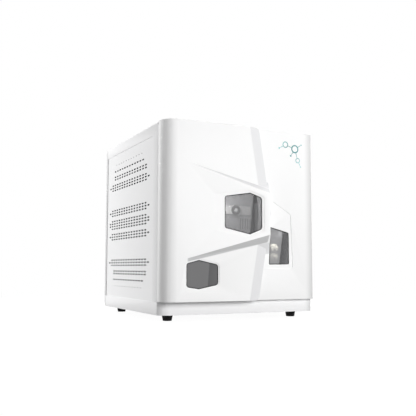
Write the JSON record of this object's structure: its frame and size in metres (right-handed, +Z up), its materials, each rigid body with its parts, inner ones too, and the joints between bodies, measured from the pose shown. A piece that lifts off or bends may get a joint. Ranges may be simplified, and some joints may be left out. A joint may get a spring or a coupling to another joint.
{
  "type": "total organic carbon analyzer",
  "caption": "Bench analyzer cabinet with a sculpted hinged door, tinted windows, slotted side panels, and a furnace, pumps and detector inside",
  "frame": {"origin": "on the bench, under the middle of the bounding box", "axes": "+Z up; the front with the door faces -Y; the door's hinges are on the left at -X"},
  "size_m": [0.5, 0.578, 0.5605],
  "materials": {
    "cabinet_paint": "white powder coat",
    "skirt_paint": "white powder coat",
    "cover_paint": "white powder coat",
    "vent_paint": "white powder coat",
    "inner_steel": "light grey coated sheet",
    "plated_steel": "zinc plated",
    "moulding": "white moulded, satin",
    "tinted_pane": "grey tinted, polished",
    "magnet": "nickel plated",
    "foot_rubber": "matte black",
    "screw_steel": "plain",
    "furnace_paint": "grey, matte",
    "clamp_metal": "brushed",
    "black_plastic": "black",
    "clear_glass": "clear",
    "catalyst": "grey granules",
    "ivory_polymer": "fluoropolymer",
    "stainless": "brushed stainless",
    "module_paint": "grey",
    "module_plastic": "light grey moulded",
    "pump_tubing": "translucent tan",
    "scrubber_plastic": "translucent, filled",
    "bottle_plastic": "natural polyethylene",
    "cap_plastic": "blue moulded",
    "detector_alloy": "machined",
    "cooler_alloy": "extruded",
    "board_laminate": "green solder mask",
    "board_components": "black packages",
    "supply_case": "galvanised",
    "guard_chrome": "chromed wire",
    "fitting_brass": "turned",
    "switch_red": "red, glossy"
  },
  "bodies": {
    "cabinet": {"base_tray": "cabinet_paint", "front_skirt": "skirt_paint", "wrap_cover": "cover_paint", "left_vent_panel": "vent_paint", "right_vent_panel": "vent_paint", "rear_panel": "cover_paint", "front_frame": "inner_steel", "bulkhead": "inner_steel", "partition": "inner_steel", "hinge_arms": "plated_steel", "hinge_pins": "plated_steel", "front_panel": "moulding", "reagent_window": "tinted_pane", "catch_magnets": "magnet", "rubber_feet": "foot_rubber", "foot_screws": "screw_steel", "rear_screws": "screw_steel", "furnace_housing": "furnace_paint", "furnace_clamp": "clamp_metal", "sight_port_ring": "black_plastic", "sight_port_lens": "clear_glass", "combustion_tube": "clear_glass", "catalyst_bed": "catalyst", "injection_head": "ivory_polymer", "head_bracket": "stainless", "tube_nut": "ivory_polymer", "syringe_pump_body": "module_paint", "syringe_barrel": "clear_glass", "valve_block": "ivory_polymer", "tube_pump_head": "module_plastic", "pump_tube": "pump_tubing", "gas_liquid_separator": "clear_glass", "scrubber_tubes": "scrubber_plastic", "scrubber_clips": "black_plastic", "reagent_pumps": "module_paint", "reagent_pump_heads": "ivory_polymer", "reagent_bottles": "bottle_plastic", "bottle_caps": "cap_plastic", "detector_bench": "detector_alloy", "detector_shelf": "inner_steel", "gas_cooler": "cooler_alloy", "control_board": "board_laminate", "board_parts": "board_components", "power_supply": "supply_case", "exhaust_fan": "black_plastic", "fan_guard": "guard_chrome", "mains_inlet": "black_plastic", "gas_fittings": "fitting_brass", "drain_spigot": "ivory_polymer"},
    "door": {"door_shell": "moulding", "furnace_window": "tinted_pane", "pump_window": "tinted_pane", "door_hinge_lugs": "moulding", "strike_discs": "plated_steel"},
    "plunger": {"syringe_plunger": "stainless"},
    "valve": {"valve_rotor": "black_plastic"},
    "pump_rotor": {"tube_pump_rotor": "stainless", "tube_pump_rollers": "ivory_polymer"},
    "fan": {"fan_rotor": "black_plastic"},
    "rocker": {"mains_switch": "switch_red"}
  },
  "joints": [
    {"name": "door_hinge", "type": "hinge", "parent": "cabinet", "child": "door", "pos_m": [-0.24, -0.245, 0.3], "axis": [0, 0, -1], "range_deg": [0, 110]},
    {"name": "plunger_slide", "type": "slide", "parent": "cabinet", "child": "plunger", "axis": [0, 0, -1], "range_m": [0, 0.045]},
    {"name": "valve_turn", "type": "hinge", "parent": "cabinet", "child": "valve", "pos_m": [-0.072, -0.177, 0.181], "axis": [0, 1, 0], "continuous": true},
    {"name": "tube_pump_turn", "type": "hinge", "parent": "cabinet", "child": "pump_rotor", "pos_m": [-0.146, -0.126, 0.336], "axis": [0, 1, 0], "continuous": true},
    {"name": "fan_turn", "type": "hinge", "parent": "cabinet", "child": "fan", "pos_m": [0.11, 0.256, 0.413], "axis": [0, 1, 0], "continuous": true},
    {"name": "mains_rock", "type": "hinge", "parent": "cabinet", "child": "rocker", "pos_m": [0.199, 0.267, 0.102], "axis": [1, 0, 0], "range_deg": [-14, 0]}
  ]
}
